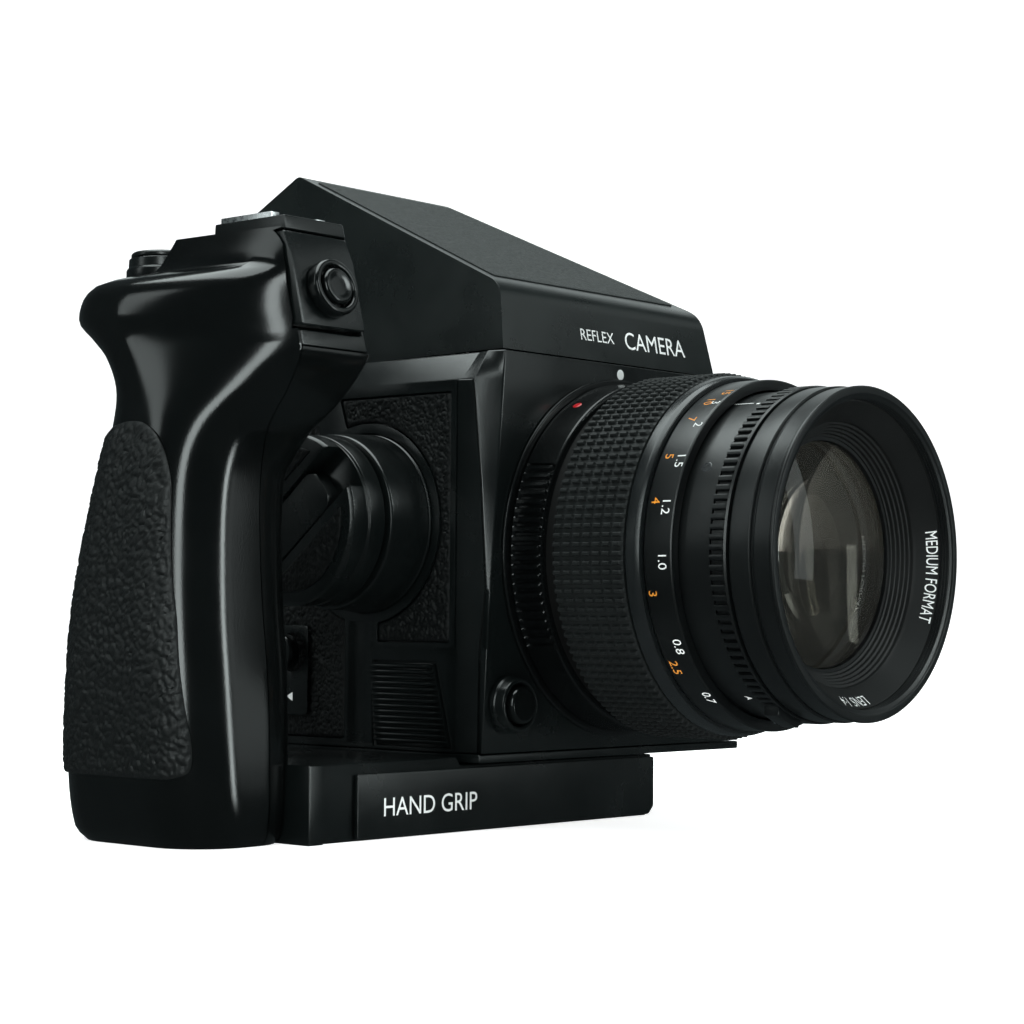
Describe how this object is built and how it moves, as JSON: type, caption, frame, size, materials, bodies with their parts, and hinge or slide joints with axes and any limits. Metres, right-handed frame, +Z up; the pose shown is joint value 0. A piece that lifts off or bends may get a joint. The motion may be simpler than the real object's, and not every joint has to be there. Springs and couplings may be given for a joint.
{
  "type": "medium format reflex camera",
  "caption": "Box-bodied reflex camera with a faceted prism finder, side winding crank, short wide lens and a moulded hand grip on a base arm.",
  "frame": {"origin": "underside of the grip's base arm, on the tripod socket's axis", "axes": "+Z up, lens looks along -Y, hand grip on the -X side"},
  "size_m": [0.1944, 0.1994, 0.1682],
  "materials": {
    "satin": "satin black paint",
    "gloss": "glossy black moulding",
    "leather": "pebbled black leatherette",
    "rubber": "matt black rubber",
    "anodised": "black anodised",
    "steel": "bare metal",
    "silver": "front-silvered mirror",
    "glass": "coated glass",
    "matt": "matt black"
  },
  "bodies": {
    "camera": {"front_casting": "satin", "main_body": "satin", "body_base_plate": "satin", "lens_flange": "steel", "side_cover_right": "satin", "side_cover_left": "satin", "leather_right_front": "leather", "leather_right_rear": "leather", "leather_left": "leather", "crank_boss": "satin", "release_collar": "gloss", "catch_plate": "satin", "focusing_screen": "glass", "prism_housing": "satin", "roof_leather": "leather", "pentaprism": "glass", "eyepiece_frame": "rubber", "eyepiece_lens": "glass", "back_housing": "satin", "lens_mount_ring": "satin", "grip_shell_outer": "gloss", "grip_shell_inner": "gloss", "grip_head": "satin", "release_insert": "satin", "grip_collar": "gloss", "accessory_shoe": "steel", "lever_hub": "satin", "grip_pad": "leather", "base_arm": "satin", "base_bar": "satin"},
    "focus": {"focus_ring": "anodised", "focus_rubber": "rubber", "distance_scale": "satin"},
    "barrel": {"lens_barrel": "satin", "front_barrel": "satin", "name_ring": "matt", "front_element": "glass", "shutter_housing": "matt", "iris_blades": "anodised", "rear_element": "glass"},
    "aperture": {"aperture_ring": "satin"},
    "crank": {"crank_drum": "satin", "crank_inlay_upper": "leather", "crank_inlay_lower": "leather"},
    "handle": {"crank_handle": "satin"},
    "body_release": {"release_button": "gloss"},
    "catch": {"catch_button": "gloss"},
    "side_hatch": {"ribbed_cover": "satin"},
    "speed": {"speed_dial": "anodised"},
    "mirror": {"mirror_carrier": "matt", "reflex_mirror": "silver"},
    "dark_slide_body": {"dark_slide": "steel"},
    "film_insert": {"film_drawer": "satin", "rear_cover": "satin", "pressure_plate": "anodised"},
    "supply": {"supply_spool": "matt"},
    "take_up": {"take_up_spool": "matt"},
    "trigger": {"grip_button": "gloss"},
    "lever": {"wind_lever": "satin"},
    "clamp": {"clamp_wheel": "anodised"}
  },
  "joints": [
    {"name": "focus_turn", "type": "hinge", "parent": "camera", "child": "focus", "pos_m": [0, -0.0385, 0.0657], "axis": [0, 1, 0], "range_deg": [-20.3, 116.5]},
    {"name": "barrel_extend", "type": "slide", "parent": "camera", "child": "barrel", "axis": [0, -1, 0], "range_m": [-0.00105, 0.0061]},
    {"name": "aperture_turn", "type": "hinge", "parent": "barrel", "child": "aperture", "pos_m": [0, -0.0385, 0.0657], "axis": [0, 1, 0], "range_deg": [0, 66]},
    {"name": "release_press", "type": "slide", "parent": "camera", "child": "body_release", "axis": [0, 1, 0], "range_m": [0, 0.002], "stiffness_N_per_m": 300},
    {"name": "catch_press", "type": "slide", "parent": "camera", "child": "catch", "axis": [1, 0, 0], "range_m": [0, 0.0018], "stiffness_N_per_m": 300},
    {"name": "hatch_slide", "type": "slide", "parent": "camera", "child": "side_hatch", "axis": [-1, 0, 0], "range_m": [0, 0.008]},
    {"name": "speed_turn", "type": "hinge", "parent": "camera", "child": "speed", "pos_m": [0, -0.0085, 0.0777], "axis": [1, 0, 0], "range_deg": [0, 290]},
    {"name": "crank_turn", "type": "hinge", "parent": "camera", "child": "crank", "pos_m": [0, 0, 0.0732], "axis": [-1, 0, 0], "continuous": true},
    {"name": "handle_fold", "type": "hinge", "parent": "crank", "child": "handle", "pos_m": [-0.0752, 0.01197, 0.06351], "axis": [0, -0.6293, -0.7771], "range_deg": [0, 35]},
    {"name": "mirror_swing", "type": "hinge", "parent": "camera", "child": "mirror", "pos_m": [0, 0.0365, 0.0987], "axis": [-1, 0, 0], "range_deg": [0, 45]},
    {"name": "dark_slide_pull", "type": "slide", "parent": "camera", "child": "dark_slide_body", "axis": [1, 0, 0], "range_m": [0, 0.08]},
    {"name": "insert_pull", "type": "slide", "parent": "camera", "child": "film_insert", "axis": [0, 1, 0], "range_m": [0, 0.045]},
    {"name": "supply_turn", "type": "hinge", "parent": "film_insert", "child": "supply", "pos_m": [0, 0.063, 0.0381], "axis": [1, 0, 0], "continuous": true},
    {"name": "take_up_turn", "type": "hinge", "parent": "film_insert", "child": "take_up", "pos_m": [0, 0.063, 0.0913], "axis": [1, 0, 0], "continuous": true},
    {"name": "trigger_press", "type": "slide", "parent": "camera", "child": "trigger", "axis": [0, 0.9677, -0.2521], "range_m": [0, 0.0018], "stiffness_N_per_m": 300},
    {"name": "lever_swing", "type": "hinge", "parent": "camera", "child": "lever", "pos_m": [-0.106, 0.0128, 0.1327], "axis": [0, 0, 1], "range_deg": [0, 60], "stiffness_Nm_per_rad": 0.02},
    {"name": "clamp_turn", "type": "hinge", "parent": "camera", "child": "clamp", "pos_m": [0, 0, 0.0087], "axis": [0, 0, 1], "continuous": true}
  ],
  "couplings": [
    {"joint": "barrel_extend", "follows": "focus_turn", "m_per_rad": 0.002932},
    {"joint": "take_up_turn", "follows": "crank_turn", "ratio": -1},
    {"joint": "supply_turn", "follows": "crank_turn", "ratio": -1}
  ]
}
